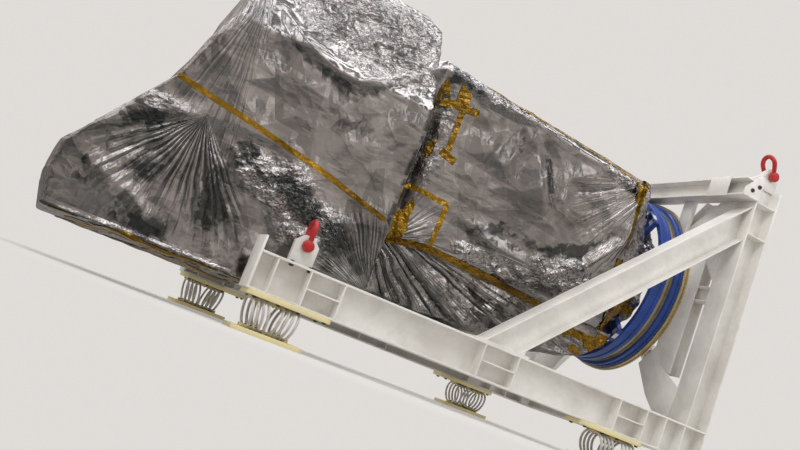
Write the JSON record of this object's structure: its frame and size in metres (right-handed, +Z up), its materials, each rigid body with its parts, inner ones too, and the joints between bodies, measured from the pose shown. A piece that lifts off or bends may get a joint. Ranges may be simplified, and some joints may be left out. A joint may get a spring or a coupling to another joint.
{
  "type": "film-wrapped satellite on a handling frame",
  "caption": "Bagged satellite held at its aft ring by an L-shaped steel frame with wire-rope isolator feet and lifting shackles.",
  "frame": {"origin": "centre of the overall box, on the floor under the isolators' lower plates", "axes": "+X from the satellite's nose to the upright back frame, +Y to the far side, +Z up"},
  "size_m": [6.15, 3.116, 3.3711],
  "materials": {
    "grey_paint": "satin",
    "chromate_plate": "satin",
    "rope_steel": "satin",
    "red_paint": "gloss",
    "blue_paint": "gloss",
    "gold_plate": "satin",
    "band_metal": "satin",
    "film": "gloss"
  },
  "bodies": {
    "frame": {"back_cross_beam": "grey_paint", "base_beam_far": "grey_paint", "base_beam_near": "grey_paint", "blue_ring_front": "blue_paint", "blue_ring_rear": "blue_paint", "brace_cross": "grey_paint", "brace_leg_front_far": "grey_paint", "brace_leg_front_near": "grey_paint", "brace_leg_rear_far": "grey_paint", "brace_leg_rear_near": "grey_paint", "carrier_ring": "gold_plate", "clamp_band": "band_metal", "column_far": "grey_paint", "column_near": "grey_paint", "film_skirt": "film", "front_cross_beam": "grey_paint", "isolator_coils_front_far": "rope_steel", "isolator_coils_front_near": "rope_steel", "isolator_coils_rear_far": "rope_steel", "isolator_coils_rear_near": "rope_steel", "isolator_deck_front_far": "chromate_plate", "isolator_deck_front_near": "chromate_plate", "isolator_deck_rear_far": "chromate_plate", "isolator_deck_rear_near": "chromate_plate", "isolator_sole_front_far": "chromate_plate", "isolator_sole_front_near": "chromate_plate", "isolator_sole_rear_far": "chromate_plate", "isolator_sole_rear_near": "chromate_plate", "lug_column_far": "grey_paint", "lug_column_near": "grey_paint", "lug_front_far": "grey_paint", "lug_front_near": "grey_paint", "rear_cross_beam": "grey_paint", "ring_arm_far": "grey_paint", "ring_arm_high_far": "grey_paint", "ring_arm_high_near": "grey_paint", "ring_arm_low_far": "grey_paint", "ring_arm_low_near": "grey_paint", "ring_arm_near": "grey_paint", "ring_hanger_far": "grey_paint", "ring_hanger_near": "grey_paint", "satellite_aft": "film", "satellite_bus": "film", "satellite_forward": "film", "strut_far": "grey_paint", "strut_near": "grey_paint", "top_cross_beam": "grey_paint"},
    "shackle_front_near": {"shackle_bow_front_near": "red_paint", "shackle_pin_front_near": "red_paint"},
    "shackle_front_far": {"shackle_bow_front_far": "red_paint", "shackle_pin_front_far": "red_paint"},
    "shackle_column_near": {"shackle_bow_column_near": "red_paint", "shackle_pin_column_near": "red_paint"},
    "shackle_column_far": {"shackle_bow_column_far": "red_paint", "shackle_pin_column_far": "red_paint"}
  },
  "joints": [
    {"name": "shackle_front_near_swing", "type": "hinge", "parent": "frame", "child": "shackle_front_near", "pos_m": [-1.115, -1.388, 0.78], "axis": [0, 1, 0], "range_deg": [-110, 110]},
    {"name": "shackle_front_far_swing", "type": "hinge", "parent": "frame", "child": "shackle_front_far", "pos_m": [-1.115, 1.388, 0.78], "axis": [0, 1, 0], "range_deg": [-110, 110]},
    {"name": "shackle_column_near_swing", "type": "hinge", "parent": "frame", "child": "shackle_column_near", "pos_m": [2.975, -1.388, 3.17], "axis": [0, 1, 0], "range_deg": [-75, 135]},
    {"name": "shackle_column_far_swing", "type": "hinge", "parent": "frame", "child": "shackle_column_far", "pos_m": [2.975, 1.388, 3.17], "axis": [0, 1, 0], "range_deg": [-75, 135]}
  ]
}
